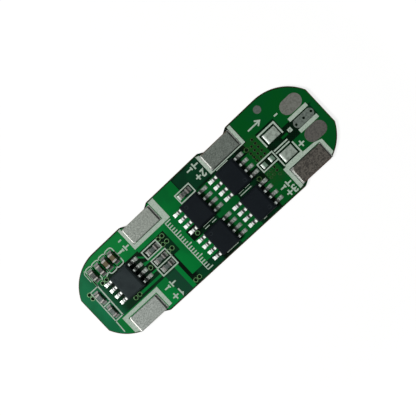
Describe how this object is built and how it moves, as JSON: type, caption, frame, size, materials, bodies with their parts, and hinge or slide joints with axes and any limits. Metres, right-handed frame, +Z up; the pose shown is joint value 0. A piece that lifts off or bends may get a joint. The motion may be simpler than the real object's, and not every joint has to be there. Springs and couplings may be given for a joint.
{
  "type": "battery management board",
  "caption": "Slim round-ended circuit board with welded cell tabs, power transistors and a controller chip, to protect a small battery pack.",
  "frame": {"origin": "centre of the board's flat underside", "axes": "+X along the board towards the output pads, +Y towards the edge with the negative and second cell tabs, +Z up through the component side"},
  "size_m": [0.0512, 0.016, 0.0027],
  "materials": {
    "solder_mask": "glossy green solder mask over glass-epoxy laminate",
    "controller_compound": "matte dark grey mould compound",
    "transistor_compound": "matte near-black mould compound",
    "lead_plating": "bright tin plating",
    "solder": "bright solder",
    "tab_nickel": "matte grained nickel plating",
    "tab_nickel_worn": "streaked dull nickel plating",
    "tab_nickel_dark": "dark mottled plating",
    "end_plating": "satin tin plating",
    "resistor_coat": "glossy black glass coat on white ceramic",
    "capacitor_ceramic": "matte tan ceramic",
    "pad_tin_dull": "dull tinned copper",
    "pad_solder_bright": "bright domed solder",
    "mark_copper": "dull bare pad"
  },
  "bodies": {
    "root": {"alignment_mark": "mark_copper", "capacitor_1_body": "capacitor_ceramic", "capacitor_1_caps": "end_plating", "capacitor_2_body": "capacitor_ceramic", "capacitor_2_caps": "end_plating", "cell_tab_first": "tab_nickel", "cell_tab_negative": "tab_nickel", "cell_tab_second": "tab_nickel_worn", "cell_tab_third": "tab_nickel_dark", "chip_solder": "solder", "circuit_board": "solder_mask", "controller_body": "controller_compound", "controller_leads": "lead_plating", "controller_solder": "solder", "output_pad_negative": "pad_tin_dull", "output_pad_positive": "pad_tin_dull", "resistor_1_body": "resistor_coat", "resistor_1_caps": "end_plating", "resistor_2_body": "resistor_coat", "resistor_2_caps": "end_plating", "resistor_3_body": "resistor_coat", "resistor_3_caps": "end_plating", "resistor_4_body": "resistor_coat", "resistor_4_caps": "end_plating", "resistor_5_body": "resistor_coat", "resistor_5_caps": "end_plating", "resistor_6_body": "resistor_coat", "resistor_6_caps": "end_plating", "resistor_7_body": "resistor_coat", "resistor_7_caps": "end_plating", "resistor_8_body": "resistor_coat", "resistor_8_caps": "end_plating", "sense_pad": "pad_tin_dull", "shunt_pad_lower": "pad_solder_bright", "shunt_pad_upper": "pad_solder_bright", "spare_pads": "pad_solder_bright", "tab_solder": "solder", "transistor_1_body": "transistor_compound", "transistor_1_leads": "lead_plating", "transistor_1_solder": "solder", "transistor_2_body": "transistor_compound", "transistor_2_leads": "lead_plating", "transistor_2_solder": "solder", "transistor_3_body": "transistor_compound", "transistor_3_leads": "lead_plating", "transistor_3_solder": "solder", "transistor_4_body": "transistor_compound", "transistor_4_leads": "lead_plating", "transistor_4_solder": "solder"}
  },
  "joints": []
}
